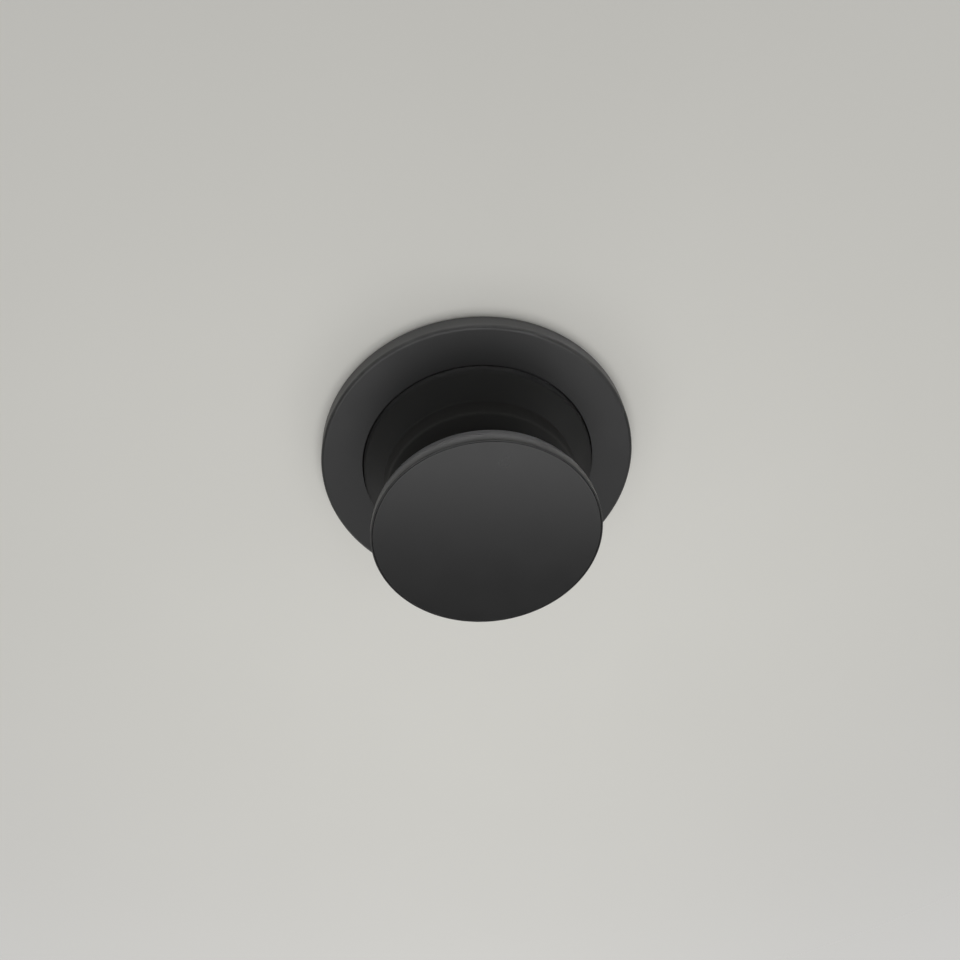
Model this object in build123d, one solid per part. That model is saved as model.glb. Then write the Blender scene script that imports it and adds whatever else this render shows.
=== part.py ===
from build123d import *
import os
from math import radians, sin, tan

# Collapsible grip with a magnetic base, standing extended on its rear pad.
# Z = 0 is the pad's face, the origin is on the grip's axis and +Z runs up to the button.
# All sizes are in millimetres.

# Overall sizes
base_diameter = 56.4
base_height = 4.0
extended_height = 24.5
button_diameter = 38.4
button_height = 4.5

# Base housing
housing_wall = 1.1
housing_face = 1.0
well_wall = 2.0
front_edge_round = 0.6
rear_edge_round = 0.3
well_edge_round = 0.12

# Rear cover and pad
cover_thickness = 0.8
cover_clearance = 0.05
pad_thickness = 0.5
pad_proud = 0.3
pad_width = 7.0
pad_margin = 0.8
pad_clearance = 0.05
vent_diameter = 2.4

# Magnet ring
magnet_count = 18
magnet_width = 4.0
magnet_clearance = 0.1
magnet_bore_clearance = 0.2
yoke_thickness = 0.5
rib_thickness = 0.5
rib_height = 1.0

# Accordion: thick risers joined by thin webs that turn over when it folds
riser_count = 3
foot_thickness = 0.8
foot_overlap = 1.1
foot_clearance = 0.1
well_gap = 0.05
riser_draft = 0.2
riser_wall = 1.15
crest_round = 1.2
web_step = 3.55
web_height = 3.8
web_wall = 0.85
hinge_round = 0.8
neck_lip = 0.8

# Button: tray, inlay and snap plug
floor_thickness = 1.0
rim_width = 0.25
ledge_width = 1.55
seam_width = 0.08
rim_round = 0.2
side_lean = 1.0
side_round = 6.0
underside_round = 0.5
inlay_thickness = 0.9
inlay_round = 0.08
plug_flange_thickness = 1.0
plug_flange_clearance = 0.3
stem_diameter = 11.0
stem_wall = 1.2
stem_clearance = 0.1
barb_overhang = 0.6
barb_height = 1.0
slot_count = 4
slot_width = 1.2

# Radii from the axis
base_radius = base_diameter / 2
button_radius = button_diameter / 2
stem_radius = stem_diameter / 2
stem_hole_radius = stem_radius + stem_clearance
channel_outer_radius = base_radius - housing_wall
magnet_outer_radius = channel_outer_radius - magnet_clearance
magnet_inner_radius = magnet_outer_radius - magnet_width
channel_inner_radius = magnet_inner_radius - magnet_bore_clearance
well_radius = channel_inner_radius - well_wall
foot_radius = well_radius + foot_overlap
cover_radius = channel_outer_radius - cover_clearance
pad_outer_radius = cover_radius - pad_margin
pad_inner_radius = pad_outer_radius - pad_width

# Heights above the pad's face
cover_bottom = pad_proud
cover_top = cover_bottom + cover_thickness
channel_top = base_height - housing_face
yoke_bottom = channel_top - yoke_thickness
foot_top = cover_top + foot_thickness
button_bottom = extended_height - button_height
floor_top = button_bottom + floor_thickness
inlay_bottom = extended_height - inlay_thickness
lip_bottom = button_bottom - neck_lip
plug_bottom = lip_bottom - plug_flange_thickness

# Accordion walls
web_count = riser_count - 1
riser_height = (button_bottom - foot_top - web_count * web_height) / riser_count
neck_radius = well_radius - well_gap - riser_count * riser_draft - web_count * web_step
plug_flange_radius = neck_radius - riser_wall - plug_flange_clearance


def turned(points, rounds=()):
    """A solid turned about Z from (radius, height) points; rounds lists (points, fillet radius)."""
    profile = make_face(Polyline(*points, close=True))
    for corners, fillet_radius in rounds:
        picked = [
            min(profile.vertices(), key=lambda v: (v.X - x) ** 2 + (v.Y - y) ** 2)
            for x, y in corners
        ]
        profile = fillet(picked, fillet_radius)
    return revolve(Plane.XZ * profile, Axis.Z)


def ring(inner_radius, outer_radius, bottom, top):
    """A flat ring with its axis on Z."""
    return Pos(0, 0, bottom) * extrude(Circle(outer_radius) - Circle(inner_radius), top - bottom)


def around_axis(shape, count):
    """Copies of a shape at an even pitch around Z."""
    return [Rot(0, 0, n * 360 / count) * shape for n in range(count)]


def make_base_housing():
    """Ring shell, open to the rear, with a rabbet that traps the accordion's foot."""
    rabbet_radius = foot_radius + foot_clearance
    front_edge = (base_radius, base_height)
    rear_edge = (base_radius, cover_bottom)
    well_edge = (well_radius, base_height)
    points = [
        rear_edge,
        front_edge,
        well_edge,
        (well_radius, foot_top),
        (rabbet_radius, foot_top),
        (rabbet_radius, cover_top),
        (channel_inner_radius, cover_top),
        (channel_inner_radius, channel_top),
        (channel_outer_radius, channel_top),
        (channel_outer_radius, cover_bottom),
    ]
    rounds = [
        ([front_edge], front_edge_round),
        ([well_edge], well_edge_round),
        ([rear_edge], rear_edge_round),
    ]
    return turned(points, rounds)


def make_rear_cover():
    """Plate with a seat for the pad, ribs between the magnets and a vent for the bellows' air."""
    plate = ring(vent_diameter / 2, cover_radius, cover_bottom, cover_top)
    seat_top = pad_thickness
    seat = ring(
        pad_inner_radius - pad_clearance, pad_outer_radius + pad_clearance, cover_bottom, seat_top
    )
    rib_length = magnet_outer_radius - magnet_inner_radius
    rib_middle = (magnet_outer_radius + magnet_inner_radius) / 2
    rib = Pos(rib_middle, 0, cover_top) * Box(
        rib_length, rib_thickness, rib_height, align=(Align.CENTER, Align.CENTER, Align.MIN)
    )
    return plate - seat + around_axis(rib, magnet_count)


def make_grip_pad():
    """Soft ring that stands a little proud of the rear face."""
    return ring(pad_inner_radius, pad_outer_radius, 0, pad_thickness)


def make_yoke_ring():
    """Flat steel ring between the magnets and the housing's face."""
    return ring(magnet_inner_radius, magnet_outer_radius, yoke_bottom, channel_top)


def make_magnet():
    """One arc magnet, centred on +X, with its ends parallel to the ribs beside it."""
    half_pitch = radians(180 / magnet_count)
    end_gap = rib_thickness / 2 + magnet_clearance
    apex = end_gap / sin(half_pitch)
    reach = 2 * magnet_outer_radius
    half_reach = (reach - apex) * tan(half_pitch)
    wedge = make_face(Polyline((apex, 0), (reach, -half_reach), (reach, half_reach), close=True))
    arc = (Circle(magnet_outer_radius) - Circle(magnet_inner_radius)) & wedge
    return Pos(0, 0, cover_top) * extrude(arc, yoke_bottom - cover_top)


def make_accordion():
    """Bellows in one moulding: foot flange, tapering risers, slanted webs and neck lip."""
    outside = []
    inside = []
    crests = []
    hinges = []
    radius = well_radius - well_gap
    height = foot_top
    for n in range(riser_count):
        lower = (radius, height)
        upper = (radius - riser_draft, height + riser_height)
        outside += [lower, upper]
        if n > 0:
            hinges.append(lower)
            inside.append((lower[0] - web_wall, lower[1]))
        inside += [(lower[0] - riser_wall, lower[1]), (upper[0] - riser_wall, upper[1])]
        if n < web_count:
            crests.append(upper)
            inside.append((upper[0] - web_wall, upper[1]))
        radius = upper[0] - web_step
        height = upper[1] + web_height
    foot_inner_radius = inside[0][0]
    lip_corner = (inside[-1][0], lip_bottom)
    points = [(foot_inner_radius, cover_top), (foot_radius, cover_top), (foot_radius, foot_top)]
    points += outside
    points += [(stem_hole_radius, button_bottom), (stem_hole_radius, lip_bottom), lip_corner]
    points += reversed(inside[1:-1])
    return turned(points, [(crests, crest_round), (hinges, hinge_round)])


def make_button_shell():
    """Tray with a wall that bends in below, a ledge for the inlay and a narrow rim around it."""
    rim_inner_radius = button_radius - rim_width
    ledge_inner_radius = rim_inner_radius - ledge_width
    top_edge = (button_radius, extended_height)
    side_bend = (button_radius, button_bottom + button_height / 2)
    bottom_edge = (button_radius - side_lean, button_bottom)
    points = [
        (stem_hole_radius, button_bottom),
        bottom_edge,
        side_bend,
        top_edge,
        (rim_inner_radius, extended_height),
        (rim_inner_radius, inlay_bottom),
        (ledge_inner_radius, inlay_bottom),
        (ledge_inner_radius, floor_top),
        (stem_hole_radius, floor_top),
    ]
    rounds = [
        ([top_edge], rim_round),
        ([side_bend], side_round),
        ([bottom_edge], underside_round),
    ]
    return turned(points, rounds)


def make_button_inlay():
    """Flat disc that fills the tray, with a fine seam around it."""
    inlay_radius = button_radius - rim_width - seam_width
    top_edge = (inlay_radius, extended_height)
    points = [(0, inlay_bottom), (inlay_radius, inlay_bottom), top_edge, (0, extended_height)]
    return turned(points, [([top_edge], inlay_round)])


def make_button_plug():
    """Flange under the neck lip and a slotted stem whose barbs catch on the tray's floor."""
    stem_bore_radius = stem_radius - stem_wall
    barb_top = floor_top + barb_height
    points = [
        (0, plug_bottom),
        (plug_flange_radius, plug_bottom),
        (plug_flange_radius, lip_bottom),
        (stem_radius, lip_bottom),
        (stem_radius, floor_top),
        (stem_radius + barb_overhang, floor_top),
        (stem_radius, barb_top),
        (stem_bore_radius, barb_top),
        (stem_bore_radius, lip_bottom),
        (0, lip_bottom),
    ]
    slot_length = stem_radius + barb_overhang
    slot = Pos(0, 0, lip_bottom) * Box(
        slot_length,
        slot_width,
        barb_top - lip_bottom,
        align=(Align.MIN, Align.CENTER, Align.MIN),
    )
    return turned(points) - around_axis(slot, slot_count)


parts = {
    "base_housing": make_base_housing(),
    "rear_cover": make_rear_cover(),
    "grip_pad": make_grip_pad(),
    "yoke_ring": make_yoke_ring(),
    "accordion": make_accordion(),
    "button_shell": make_button_shell(),
    "button_inlay": make_button_inlay(),
    "button_plug": make_button_plug(),
}
half_pitch_turn = Rot(0, 0, 180 / magnet_count)
for n, magnet in enumerate(around_axis(half_pitch_turn * make_magnet(), magnet_count), start=1):
    parts[f"magnet_{n:02d}"] = magnet

os.makedirs("parts", exist_ok=True)
for name, shape in parts.items():
    export_step(shape, f"parts/{name}.step")
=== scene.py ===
from math import cos, radians, sin

import bmesh
import bpy
from mathutils import Matrix, Vector


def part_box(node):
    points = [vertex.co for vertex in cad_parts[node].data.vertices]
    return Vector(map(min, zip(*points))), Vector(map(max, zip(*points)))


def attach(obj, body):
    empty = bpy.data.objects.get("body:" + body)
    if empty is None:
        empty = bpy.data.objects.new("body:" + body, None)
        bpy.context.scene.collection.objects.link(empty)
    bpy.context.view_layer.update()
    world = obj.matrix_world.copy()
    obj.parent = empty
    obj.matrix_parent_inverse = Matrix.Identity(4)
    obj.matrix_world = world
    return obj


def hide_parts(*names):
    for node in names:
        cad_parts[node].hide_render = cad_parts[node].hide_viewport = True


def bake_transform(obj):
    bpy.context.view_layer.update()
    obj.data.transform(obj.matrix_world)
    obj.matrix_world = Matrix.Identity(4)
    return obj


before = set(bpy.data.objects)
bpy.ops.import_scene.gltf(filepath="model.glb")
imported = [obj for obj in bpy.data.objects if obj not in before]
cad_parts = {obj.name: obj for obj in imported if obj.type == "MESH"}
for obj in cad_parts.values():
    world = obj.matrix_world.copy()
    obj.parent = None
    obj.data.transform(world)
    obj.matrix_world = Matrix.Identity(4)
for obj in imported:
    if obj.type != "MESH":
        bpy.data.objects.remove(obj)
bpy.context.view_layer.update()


# Grip pad: a flat ring of soft black silicone, moulded and then bonded into a shallow seat in the rear
# face. It stands a little proud, so that it alone touches what the grip is put on.
mm = 0.001
pad_width = 7.0 * mm
pad_edge_round = 0.12 * mm
least_round = 0.04 * mm
turning_facets = 192
weld_distance = 0.0005 * mm


def rounded_outline(corners, closed=True, arc_steps=6, hold=0.06 * mm, gentle=radians(30)):
    """Corners (radius, height, round) as points (radius, height, edge) of a smooth outline.

    Edge is 1 on an outer corner and 0 on inner corners, flats and gentle bends. A point beside each
    arc keeps the flats flat. An open outline starts and ends on the axis.
    """
    count = len(corners)
    places = [Vector(corner[:2]) for corner in corners]
    arcs = []
    for n, here in enumerate(places):
        before = places[n - 1] - here
        after = places[(n + 1) % count] - here
        half_angle = before.angle(after) / 2
        size = max(corners[n][2], least_round)
        arcs.append((before, after, half_angle, size, size * cos(half_angle) / sin(half_angle)))
    outline = []
    for n, here in enumerate(places):
        if not closed and n in (0, count - 1):
            outline.append((*here, 0))
            continue
        before, after, half_angle, size, reach = arcs[n]
        spare_before = before.length - reach - (arcs[n - 1][4] if closed or n > 1 else 0)
        spare_after = after.length - reach - (arcs[(n + 1) % count][4] if closed or n < count - 2 else 0)
        before = before.normalized()
        after = after.normalized()
        centre = here + (before + after).normalized() * (size / sin(half_angle))
        first = here + before * reach - centre
        turn = first.angle_signed(here + after * reach - centre)
        outer = before.cross(after) < 0
        edge = 1 if outer and abs(turn) > gentle else 0
        outline.append((*(here + before * (reach + min(hold, spare_before / 3))), 0))
        for step in range(arc_steps + 1):
            spoke = Matrix.Rotation(-turn * step / arc_steps, 2) @ first
            outline.append((*(centre + spoke), edge))
        outline.append((*(here + after * (reach + min(hold, spare_after / 3))), 0))
    return outline


def make_turning_tree(path_radius=10 * mm):
    """Node tree that turns an outline, drawn as radius and height in XY, about the Z axis."""
    tree = bpy.data.node_groups.new("turned_moulding", "GeometryNodeTree")
    for name, kind in (("Outline", "Geometry"), ("Facets", "Int"), ("Finish", "Material")):
        tree.interface.new_socket(name, in_out="INPUT", socket_type=f"NodeSocket{kind}")
    tree.interface.new_socket("Moulding", in_out="OUTPUT", socket_type="NodeSocketGeometry")
    add = tree.nodes.new
    sizes = add("NodeGroupInput")
    section = add("GeometryNodeMeshToCurve")
    section_shift = add("GeometryNodeTransform")
    section_shift.inputs["Translation"].default_value = (-path_radius, 0, 0)
    section_shift.inputs["Scale"].default_value = (1, -1, 1)
    circle = add("GeometryNodeCurvePrimitiveCircle")
    circle.inputs["Radius"].default_value = path_radius
    upright = add("GeometryNodeSetCurveNormal")
    upright.mode = "Z_UP"
    sweep = add("GeometryNodeCurveToMesh")
    smooth = add("GeometryNodeSetShadeSmooth")
    realize = add("GeometryNodeRealizeInstances")
    paint = add("GeometryNodeSetMaterial")
    result = add("NodeGroupOutput")
    for start, end in (
        (sizes.outputs["Outline"], section.inputs["Mesh"]),
        (section.outputs["Curve"], section_shift.inputs["Geometry"]),
        (section_shift.outputs["Geometry"], sweep.inputs["Profile Curve"]),
        (sizes.outputs["Facets"], circle.inputs["Resolution"]),
        (circle.outputs["Curve"], upright.inputs["Curve"]),
        (upright.outputs["Curve"], sweep.inputs["Curve"]),
        (sweep.outputs["Mesh"], smooth.inputs["Geometry"]),
        (smooth.outputs["Geometry"], realize.inputs["Geometry"]),
        (realize.outputs["Geometry"], paint.inputs["Geometry"]),
        (sizes.outputs["Finish"], paint.inputs["Material"]),
        (paint.outputs["Geometry"], result.inputs["Moulding"]),
    ):
        tree.links.new(start, end)
    return tree


turning_tree = make_turning_tree()


def turned_moulding(name, outline, finish, closed=True):
    """A piece turned about Z from outline points, with its edge mask kept as an attribute."""
    count = len(outline)
    links = [(n, (n + 1) % count) for n in range(count if closed else count - 1)]
    drawing = bpy.data.meshes.new(f"{name}_outline")
    drawing.from_pydata([(radius, height, 0) for radius, height, edge in outline], links, [])
    drawing.attributes.new("edge", "FLOAT", "POINT").data.foreach_set("value", [p[2] for p in outline])
    piece = bpy.data.objects.new(name, drawing)
    bpy.context.scene.collection.objects.link(piece)
    turning = piece.modifiers.new("turning", "NODES")
    turning.node_group = turning_tree
    inputs = {s.name: s.identifier for s in turning_tree.interface.items_tree if s.in_out == "INPUT"}
    turning[inputs["Facets"]] = turning_facets
    turning[inputs["Finish"]] = finish
    evaluated = piece.evaluated_get(bpy.context.evaluated_depsgraph_get())
    moulding = bpy.data.meshes.new_from_object(evaluated)
    piece.modifiers.clear()
    piece.data = moulding
    moulding.name = name
    bpy.data.meshes.remove(drawing)
    merged = bmesh.new()
    merged.from_mesh(moulding)
    bmesh.ops.remove_doubles(merged, verts=merged.verts, dist=weld_distance)
    bmesh.ops.recalc_face_normals(merged, faces=merged.faces)
    merged.to_mesh(moulding)
    merged.free()
    return piece


def shader_group(name, inputs, outputs):
    """An empty shader node group with named sockets, and its input and output nodes."""
    group = bpy.data.node_groups.new(name, "ShaderNodeTree")
    for socket, kind in inputs:
        group.interface.new_socket(socket, in_out="INPUT", socket_type=f"NodeSocket{kind}")
    for socket, kind in outputs:
        group.interface.new_socket(socket, in_out="OUTPUT", socket_type=f"NodeSocket{kind}")
    return group, group.nodes.new("NodeGroupInput"), group.nodes.new("NodeGroupOutput")


def make_moulded_grain():
    """Spark-eroded mould texture: a fine grain height and a slow cloudy tone."""
    group, given, result = shader_group(
        "moulded_grain",
        (("Place", "Vector"), ("Grain Pitch", "Float"), ("Cloud Pitch", "Float")),
        (("Height", "Float"), ("Tone", "Float")),
    )
    link = group.links.new
    for pitch, output, detail in (("Grain Pitch", "Height", 2), ("Cloud Pitch", "Tone", 1)):
        scale = group.nodes.new("ShaderNodeMath")
        scale.operation = "DIVIDE"
        scale.inputs[0].default_value = 1
        noise = group.nodes.new("ShaderNodeTexNoise")
        noise.inputs["Detail"].default_value = detail
        link(given.outputs[pitch], scale.inputs[1])
        link(scale.outputs["Value"], noise.inputs["Scale"])
        link(given.outputs["Place"], noise.inputs["Vector"])
        link(noise.outputs["Fac"], result.inputs[output])
    return group


def make_edge_rub():
    """Handling wear: outer edges rubbed smooth, unevenly along their length."""
    group, given, result = shader_group(
        "edge_rub",
        (("Edge", "Float"), ("Place", "Vector"), ("Patch Pitch", "Float")),
        (("Rubbed", "Float"),),
    )
    link = group.links.new
    scale = group.nodes.new("ShaderNodeMath")
    scale.operation = "DIVIDE"
    scale.inputs[0].default_value = 1
    noise = group.nodes.new("ShaderNodeTexNoise")
    noise.inputs["Detail"].default_value = 4
    uneven = group.nodes.new("ShaderNodeMapRange")
    uneven.inputs["From Min"].default_value = 0.35
    uneven.inputs["From Max"].default_value = 0.65
    uneven.inputs["To Min"].default_value = 0.45
    rubbed = group.nodes.new("ShaderNodeMath")
    rubbed.operation = "MULTIPLY"
    link(given.outputs["Patch Pitch"], scale.inputs[1])
    link(scale.outputs["Value"], noise.inputs["Scale"])
    link(given.outputs["Place"], noise.inputs["Vector"])
    link(noise.outputs["Fac"], uneven.inputs["Value"])
    link(uneven.outputs["Result"], rubbed.inputs[0])
    link(given.outputs["Edge"], rubbed.inputs[1])
    link(rubbed.outputs["Value"], result.inputs["Rubbed"])
    return group


moulded_grain = make_moulded_grain()
edge_rub = make_edge_rub()


def moulded_finish(name, deep, pale, rubbed, rough, smooth, grain_pitch, grain_depth):
    """A moulded plastic or rubber: cloudy from deep to pale, finely grained, with edges rubbed smooth."""
    cloud_pitch = 6 * mm
    rub_patch_pitch = 3 * mm
    sheen_spread = 0.04
    finish = bpy.data.materials.new(name)
    finish.use_nodes = True
    nodes = finish.node_tree.nodes
    link = finish.node_tree.links.new
    surface = nodes["Principled BSDF"]
    place = nodes.new("ShaderNodeTexCoord")
    edge = nodes.new("ShaderNodeAttribute")
    edge.attribute_name = "edge"
    grain = nodes.new("ShaderNodeGroup")
    grain.node_tree = moulded_grain
    grain.inputs["Grain Pitch"].default_value = grain_pitch
    grain.inputs["Cloud Pitch"].default_value = cloud_pitch
    rub = nodes.new("ShaderNodeGroup")
    rub.node_tree = edge_rub
    rub.inputs["Patch Pitch"].default_value = rub_patch_pitch
    tone = nodes.new("ShaderNodeMix")
    tone.data_type = "RGBA"
    tone.inputs["A"].default_value = (*deep, 1)
    tone.inputs["B"].default_value = (*pale, 1)
    worn = nodes.new("ShaderNodeMix")
    worn.data_type = "RGBA"
    worn.inputs["B"].default_value = (*rubbed, 1)
    sheen = nodes.new("ShaderNodeMapRange")
    sheen.clamp = False
    sheen.inputs["From Min"].default_value = 0.3
    sheen.inputs["From Max"].default_value = 0.7
    sheen.inputs["To Min"].default_value = rough * (1 + sheen_spread)
    sheen.inputs["To Max"].default_value = rough * (1 - sheen_spread)
    polish = nodes.new("ShaderNodeMix")
    polish.inputs["B"].default_value = smooth
    bump = nodes.new("ShaderNodeBump")
    bump.inputs["Distance"].default_value = grain_depth
    for group in (grain, rub):
        link(place.outputs["Object"], group.inputs["Place"])
    link(edge.outputs["Fac"], rub.inputs["Edge"])
    link(grain.outputs["Tone"], tone.inputs["Factor"])
    link(tone.outputs["Result"], worn.inputs["A"])
    link(rub.outputs["Rubbed"], worn.inputs["Factor"])
    link(worn.outputs["Result"], surface.inputs["Base Color"])
    link(grain.outputs["Tone"], sheen.inputs["Value"])
    link(sheen.outputs["Result"], polish.inputs["A"])
    link(rub.outputs["Rubbed"], polish.inputs["Factor"])
    link(polish.outputs["Result"], surface.inputs["Roughness"])
    link(grain.outputs["Height"], bump.inputs["Height"])
    link(bump.outputs["Normal"], surface.inputs["Normal"])
    return finish


pad_low, pad_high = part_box("grip_pad")
pad_inner_radius = pad_high.x - pad_width
pad_outline = rounded_outline([
    (pad_inner_radius, pad_low.z, pad_edge_round),
    (pad_high.x, pad_low.z, pad_edge_round),
    (pad_high.x, pad_high.z, 0),
    (pad_inner_radius, pad_high.z, 0),
])
pad_finish = moulded_finish(
    "pad_silicone",
    deep=(0.018, 0.018, 0.019),
    pale=(0.03, 0.03, 0.031),
    rubbed=(0.05, 0.05, 0.05),
    rough=0.72,
    smooth=0.6,
    grain_pitch=0.2 * mm,
    grain_depth=0.012 * mm,
)
pad = turned_moulding("grip_pad_ring", pad_outline, pad_finish)
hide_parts("grip_pad")
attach(pad, "base")


# Rear cover: an injection-moulded plate of the housing's black plastic, pressed into the housing from
# behind. Its ribs space the magnets, and a small hole in the middle lets the bellows breathe.
housing_finish = moulded_finish(
    "housing_plastic",
    deep=(0.018, 0.018, 0.0184),
    pale=(0.022, 0.022, 0.0224),
    rubbed=(0.032, 0.032, 0.032),
    rough=0.44,
    smooth=0.40,
    grain_pitch=0.18 * mm,
    grain_depth=0.006 * mm,
)


def dress(node, finish):
    """Put a finish on a CAD piece that is shown as it is."""
    slots = bpy.data.objects[node].data.materials
    slots.clear()
    slots.append(finish)


dress("rear_cover", housing_finish)


# Magnets: eighteen arcs of sintered magnet, nickel plated, set side by side between the cover's ribs.
# Barrel plating leaves them bright but a little hazy.
def metal_finish(name, dull, bright, rough, streak_pitch, streak_stretch):
    """A plated or rolled metal: fine streaks in its tone and a slow haze in its gloss."""
    cloud_pitch = 4 * mm
    haze_spread = 0.08
    finish = bpy.data.materials.new(name)
    finish.use_nodes = True
    nodes = finish.node_tree.nodes
    link = finish.node_tree.links.new
    surface = nodes["Principled BSDF"]
    surface.inputs["Metallic"].default_value = 1
    place = nodes.new("ShaderNodeTexCoord")
    stretch = nodes.new("ShaderNodeMapping")
    stretch.inputs["Scale"].default_value = streak_stretch
    grain = nodes.new("ShaderNodeGroup")
    grain.node_tree = moulded_grain
    grain.inputs["Grain Pitch"].default_value = streak_pitch
    grain.inputs["Cloud Pitch"].default_value = cloud_pitch
    tone = nodes.new("ShaderNodeMix")
    tone.data_type = "RGBA"
    tone.inputs["A"].default_value = (*dull, 1)
    tone.inputs["B"].default_value = (*bright, 1)
    haze = nodes.new("ShaderNodeMapRange")
    haze.inputs["To Min"].default_value = rough + haze_spread
    haze.inputs["To Max"].default_value = rough - haze_spread
    link(place.outputs["Object"], stretch.inputs["Vector"])
    link(stretch.outputs["Vector"], grain.inputs["Place"])
    link(grain.outputs["Height"], tone.inputs["Factor"])
    link(tone.outputs["Result"], surface.inputs["Base Color"])
    link(grain.outputs["Tone"], haze.inputs["Value"])
    link(haze.outputs["Result"], surface.inputs["Roughness"])
    return finish


nickel_finish = metal_finish(
    "magnet_nickel",
    dull=(0.42, 0.40, 0.37),
    bright=(0.58, 0.56, 0.52),
    rough=0.28,
    streak_pitch=0.15 * mm,
    streak_stretch=(1, 1, 1),
)
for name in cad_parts:
    if name.startswith("magnet_"):
        dress(name, nickel_finish)


# Yoke ring: a flat ring stamped from cold-rolled steel strip, laid on the magnets to close their field.
# The rolling leaves fine straight streaks across it.
steel_finish = metal_finish(
    "yoke_steel",
    dull=(0.30, 0.30, 0.30),
    bright=(0.46, 0.45, 0.44),
    rough=0.36,
    streak_pitch=0.12 * mm,
    streak_stretch=(0.05, 1, 1),
)
dress("yoke_ring", steel_finish)


# Base housing: the round shell of matte black plastic, injection moulded, with a rounded front edge and
# an open well in its middle. A rabbet behind the well's wall traps the bellows' foot.
housing_wall = 1.1 * mm
housing_face = 1.0 * mm
well_wall = 2.0 * mm
foot_thickness = 0.8 * mm
foot_overlap = 1.1 * mm
foot_clearance = 0.1 * mm
front_edge_round = 0.6 * mm
rear_edge_round = 0.3 * mm
well_edge_round = 0.12 * mm
housing_low, housing_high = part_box("base_housing")
bellows_low, bellows_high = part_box("accordion")
well_radius = bellows_high.x - foot_overlap
rabbet_radius = bellows_high.x + foot_clearance
channel_inner_radius = well_radius + well_wall
channel_outer_radius = housing_high.x - housing_wall
channel_top = housing_high.z - housing_face
foot_top = bellows_low.z + foot_thickness
housing_outline = rounded_outline([
    (housing_high.x, housing_low.z, rear_edge_round),
    (housing_high.x, housing_high.z, front_edge_round),
    (well_radius, housing_high.z, well_edge_round),
    (well_radius, foot_top, 0),
    (rabbet_radius, foot_top, 0),
    (rabbet_radius, bellows_low.z, 0),
    (channel_inner_radius, bellows_low.z, 0),
    (channel_inner_radius, channel_top, 0),
    (channel_outer_radius, channel_top, 0),
    (channel_outer_radius, housing_low.z, 0),
])
housing = turned_moulding("base_housing_shell", housing_outline, housing_finish)
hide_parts("base_housing")
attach(housing, "base")


# Bellows: one moulding of soft black elastomer. Three thick, slightly tapered risers are joined by two
# thin slanted webs that turn over when the grip is pushed flat; the foot is trapped in the base.
riser_count = 3
riser_draft = 0.2 * mm
web_step = 3.55 * mm
web_height = 3.8 * mm
web_wall = 0.85 * mm
riser_wall = 1.15 * mm
crest_round = 1.2 * mm
hinge_round = 0.8 * mm
neck_lip = 0.8 * mm
stem_hole_radius = 5.6 * mm
well_gap = 0.05 * mm
riser_height = (bellows_high.z - foot_top - (riser_count - 1) * web_height) / riser_count
outside = []
inside = []
riser_radius = well_radius - well_gap
riser_bottom = foot_top
for n in range(riser_count):
    upper_radius = riser_radius - riser_draft
    riser_top = riser_bottom + riser_height
    outside.append((riser_radius, riser_bottom, hinge_round if n > 0 else 0))
    outside.append((upper_radius, riser_top, crest_round if n < riser_count - 1 else 0))
    if n > 0:
        inside.append((riser_radius - web_wall, riser_bottom, 0))
    inside.append((riser_radius - riser_wall, riser_bottom, 0))
    inside.append((upper_radius - riser_wall, riser_top, 0))
    if n < riser_count - 1:
        inside.append((upper_radius - web_wall, riser_top, 0))
    riser_radius = upper_radius - web_step
    riser_bottom = riser_top + web_height
lip_bottom = bellows_high.z - neck_lip
bellows_outline = rounded_outline(
    [
        (inside[0][0], bellows_low.z, 0),
        (bellows_high.x, bellows_low.z, 0),
        (bellows_high.x, foot_top, 0),
    ]
    + outside
    + [
        (stem_hole_radius, bellows_high.z, 0),
        (stem_hole_radius, lip_bottom, 0),
        (inside[-1][0], lip_bottom, 0),
    ]
    + inside[-2:0:-1]
)
bellows_finish = moulded_finish(
    "bellows_elastomer",
    deep=(0.016, 0.016, 0.016),
    pale=(0.020, 0.020, 0.020),
    rubbed=(0.018, 0.018, 0.018),
    rough=0.58,
    smooth=0.58,
    grain_pitch=0.16 * mm,
    grain_depth=0.006 * mm,
)
bellows = turned_moulding("bellows", bellows_outline, bellows_finish)
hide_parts("accordion")
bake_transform(bellows)


# Button plug: a stiff moulded plug inside the bellows' neck. Its flange clamps the neck lip, and its
# slotted stem snaps through the tray's floor.
plug_finish = moulded_finish(
    "plug_plastic",
    deep=(0.020, 0.020, 0.021),
    pale=(0.030, 0.030, 0.031),
    rubbed=(0.05, 0.05, 0.05),
    rough=0.42,
    smooth=0.36,
    grain_pitch=0.25 * mm,
    grain_depth=0.004 * mm,
)
dress("button_plug", plug_finish)


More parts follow.
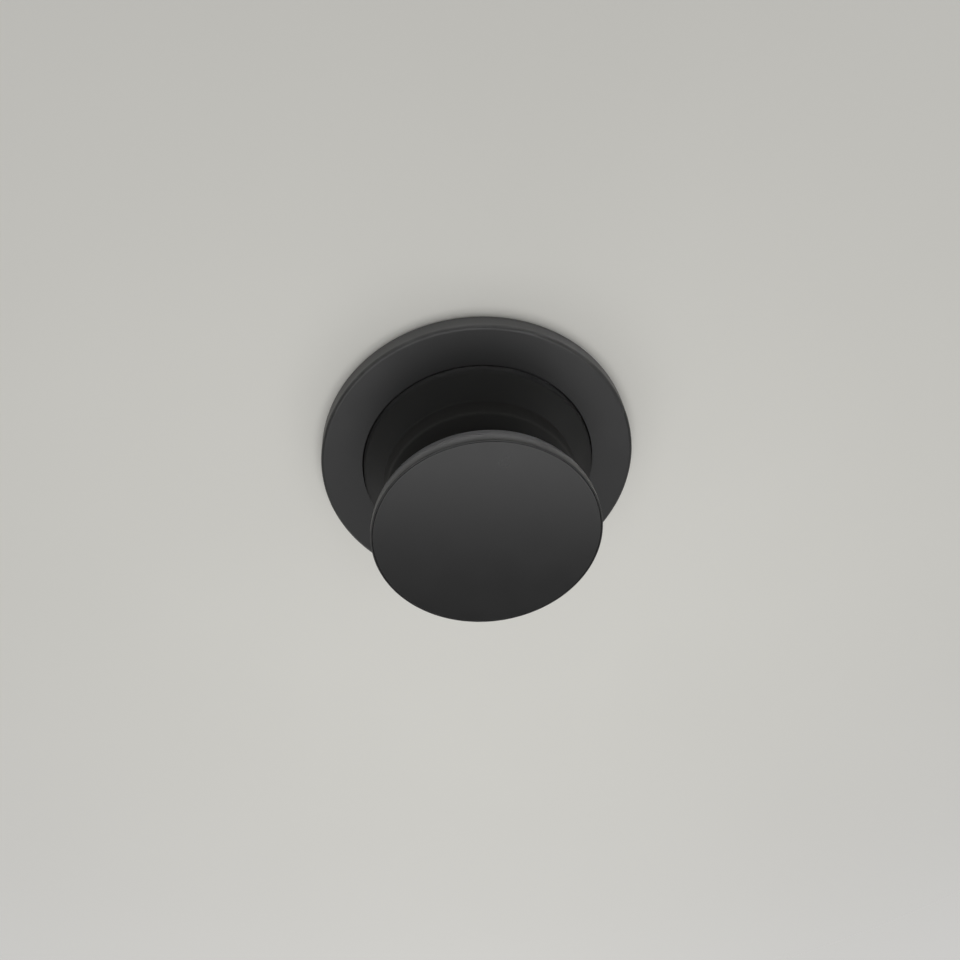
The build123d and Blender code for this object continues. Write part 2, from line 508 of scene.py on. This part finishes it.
# Button tray: the moulded black shell under the thumb. Its wall bends in towards the fingers' side, and
# a narrow rounded rim stands around the inlay. It is snapped on over the bellows' neck.
rim_width = 0.25 * mm
ledge_width = 1.55 * mm
tray_floor = 1.0 * mm
rim_round = 0.2 * mm
side_lean = 1.0 * mm
side_round = 6.0 * mm
underside_round = 0.5 * mm
tray_low, tray_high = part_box("button_shell")
inlay_low, inlay_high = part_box("button_inlay")
rim_inner_radius = tray_high.x - rim_width
ledge_inner_radius = rim_inner_radius - ledge_width
floor_top = tray_low.z + tray_floor
side_bend = (tray_low.z + tray_high.z) / 2
tray_outline = rounded_outline([
    (stem_hole_radius, tray_low.z, 0),
    (tray_high.x - side_lean, tray_low.z, underside_round),
    (tray_high.x, side_bend, side_round),
    (tray_high.x, tray_high.z, rim_round),
    (rim_inner_radius, tray_high.z, 0),
    (rim_inner_radius, inlay_low.z, 0),
    (ledge_inner_radius, inlay_low.z, 0),
    (ledge_inner_radius, floor_top, 0),
    (stem_hole_radius, floor_top, 0),
])
tray_finish = moulded_finish(
    "button_plastic",
    deep=(0.018, 0.018, 0.0184),
    pale=(0.022, 0.022, 0.0224),
    rubbed=(0.032, 0.032, 0.032),
    rough=0.42,
    smooth=0.38,
    grain_pitch=0.16 * mm,
    grain_depth=0.005 * mm,
)
tray = turned_moulding("button_tray", tray_outline, tray_finish)
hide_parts("button_shell")
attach(tray, "button")


# Button inlay: a flat disc of satin black plastic, let into the tray and bonded to its ledge. A fine
# seam is left between the disc and the rim.
inlay_round = 0.08 * mm
seam_width = 0.08 * mm
inlay_radius = rim_inner_radius - seam_width
inlay_outline = rounded_outline(
    [
        (0, inlay_low.z, 0),
        (inlay_radius, inlay_low.z, 0),
        (inlay_radius, inlay_high.z, inlay_round),
        (0, inlay_high.z, 0),
    ],
    closed=False,
)
inlay_finish = moulded_finish(
    "inlay_plastic",
    deep=(0.0115, 0.0115, 0.0117),
    pale=(0.0130, 0.0130, 0.0132),
    rubbed=(0.025, 0.025, 0.025),
    rough=0.29,
    smooth=0.31,
    grain_pitch=0.16 * mm,
    grain_depth=0.002 * mm,
)
inlay = turned_moulding("button_face", inlay_outline, inlay_finish, closed=False)
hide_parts("button_inlay")
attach(inlay, "button")


# Studio: a floor of pale paper that fades out into an even, pale surround. Two broad softboxes hang
# overhead, and low panels stand behind and at the right. Two strip lights with narrow grids pick out
# the side of the base and the side of the button.
floor_half = 600 * mm
floor_fade_start = 60 * mm
floor_fade_end = 300 * mm
floor_corners = [(x * floor_half, y * floor_half, 0) for x, y in ((-1, -1), (1, -1), (1, 1), (-1, 1))]
floor_mesh = bpy.data.meshes.new("studio_floor")
floor_mesh.from_pydata(floor_corners, [], [(0, 1, 2, 3)])
floor_finish = bpy.data.materials.new("studio_paper")
floor_finish.use_nodes = True
floor_nodes = floor_finish.node_tree.nodes
floor_link = floor_finish.node_tree.links.new
floor_surface = floor_nodes["Principled BSDF"]
floor_surface.inputs["Roughness"].default_value = 0.9
floor_surface.inputs["Specular IOR Level"].default_value = 0.1
floor_place = floor_nodes.new("ShaderNodeTexCoord")
floor_noise = floor_nodes.new("ShaderNodeTexNoise")
floor_noise.inputs["Scale"].default_value = 20
floor_tone = floor_nodes.new("ShaderNodeMix")
floor_tone.data_type = "RGBA"
floor_tone.inputs["A"].default_value = (0.74, 0.732, 0.69, 1)
floor_tone.inputs["B"].default_value = (0.77, 0.762, 0.72, 1)
floor_surface.inputs["Emission Color"].default_value = (1.0, 0.985, 0.93, 1)
floor_surface.inputs["Emission Strength"].default_value = 0.09
floor_reach = floor_nodes.new("ShaderNodeVectorMath")
floor_reach.operation = "LENGTH"
floor_fade = floor_nodes.new("ShaderNodeMapRange")
floor_fade.interpolation_type = "SMOOTHSTEP"
floor_fade.inputs["From Min"].default_value = floor_fade_start
floor_fade.inputs["From Max"].default_value = floor_fade_end
floor_fade.inputs["To Min"].default_value = 1
floor_fade.inputs["To Max"].default_value = 0
floor_link(floor_place.outputs["Object"], floor_reach.inputs[0])
floor_link(floor_reach.outputs["Value"], floor_fade.inputs["Value"])
floor_link(floor_fade.outputs["Result"], floor_surface.inputs["Alpha"])
floor_link(floor_place.outputs["Object"], floor_noise.inputs["Vector"])
floor_link(floor_noise.outputs["Fac"], floor_tone.inputs["Factor"])
floor_link(floor_tone.outputs["Result"], floor_surface.inputs["Base Color"])
floor_mesh.materials.append(floor_finish)
floor = bpy.data.objects.new("studio_floor", floor_mesh)
bpy.context.scene.collection.objects.link(floor)

surround_as_light = 0.09
surround_as_seen = 0.62
surround = bpy.data.worlds.new("studio_surround")
surround.use_nodes = True
surround_nodes = surround.node_tree.nodes
surround_nodes["Background"].inputs["Color"].default_value = (1.0, 0.99, 0.97, 1)
seen = surround_nodes.new("ShaderNodeLightPath")
level = surround_nodes.new("ShaderNodeMix")
level.inputs["A"].default_value = surround_as_light
level.inputs["B"].default_value = surround_as_seen
surround.node_tree.links.new(seen.outputs["Is Camera Ray"], level.inputs["Factor"])
surround.node_tree.links.new(level.outputs["Result"], surround_nodes["Background"].inputs["Strength"])
bpy.context.scene.world = surround


def softbox(name, azimuth, elevation, distance, width, height, power, aim_height=15 * mm):
    """An area light aimed at the grip's axis and hidden from the camera, with its angles in degrees."""
    lamp = bpy.data.lights.new(name, "AREA")
    lamp.shape = "RECTANGLE"
    lamp.size = width
    lamp.size_y = height
    lamp.energy = power
    light = bpy.data.objects.new(name, lamp)
    across = cos(radians(elevation)) * distance
    rise = sin(radians(elevation)) * distance
    aim = Vector((0, 0, aim_height))
    place = aim + Vector((sin(radians(azimuth)) * across, -cos(radians(azimuth)) * across, rise))
    light.location = place
    light.rotation_euler = (aim - place).to_track_quat("-Z", "Y").to_euler()
    light.visible_camera = False
    bpy.context.scene.collection.objects.link(light)
    return light


for name, azimuth, elevation, distance, width, height, power in (
    ("far_softbox", 178, 78, 250 * mm, 300 * mm, 200 * mm, 0.355),
    ("near_softbox", 0, 75, 250 * mm, 300 * mm, 175 * mm, 0.10),
    ("back_panel", 180, 8, 300 * mm, 250 * mm, 120 * mm, 0.20),
    ("back_left_panel", 135, 12, 300 * mm, 250 * mm, 120 * mm, 0.035),
    ("back_right_panel", 225, 12, 300 * mm, 250 * mm, 120 * mm, 0.035),
    ("right_panel", 285, 15, 300 * mm, 250 * mm, 60 * mm, 0.048),
):
    softbox(name, azimuth, elevation, distance, width, height, power)
strip_distance = 200 * mm
strip_width = 70 * mm
strip_height = 4.2 * mm
for name, aim_height, power, spread in (
    ("base_strip", 2.6 * mm, 0.00145, 1.2),
    ("button_strip", 21.9 * mm, 0.0032, 0.6),
):
    strip = softbox(name, 0, 0, strip_distance, strip_width, strip_height, power, aim_height)
    strip.data.spread = radians(spread)
    strip.visible_glossy = False


# Camera: the photograph's own viewpoint. It looks down from high over the near side and is turned over,
# so that the near side of the grip is at the top of the picture.
camera_place = Vector((17.79 * mm, -102.1 * mm, 150.97 * mm))
camera_look = Vector((-0.1009, 0.5789, -0.8091)).normalized()
camera_up = Vector((0.0089, -0.8127, -0.5826))
camera_side = camera_look.cross(camera_up).normalized()
camera_up = camera_side.cross(camera_look)
camera_data = bpy.data.cameras.new("photo_camera")
camera_data.lens = 37.17
camera_data.clip_start = 5 * mm
camera = bpy.data.objects.new("photo_camera", camera_data)
camera_turn = Matrix((camera_side, camera_up, -camera_look)).transposed().to_4x4()
camera.matrix_world = Matrix.Translation(camera_place) @ camera_turn
bpy.context.scene.collection.objects.link(camera)
bpy.context.scene.camera = camera
bpy.context.scene.view_settings.view_transform = "Standard"
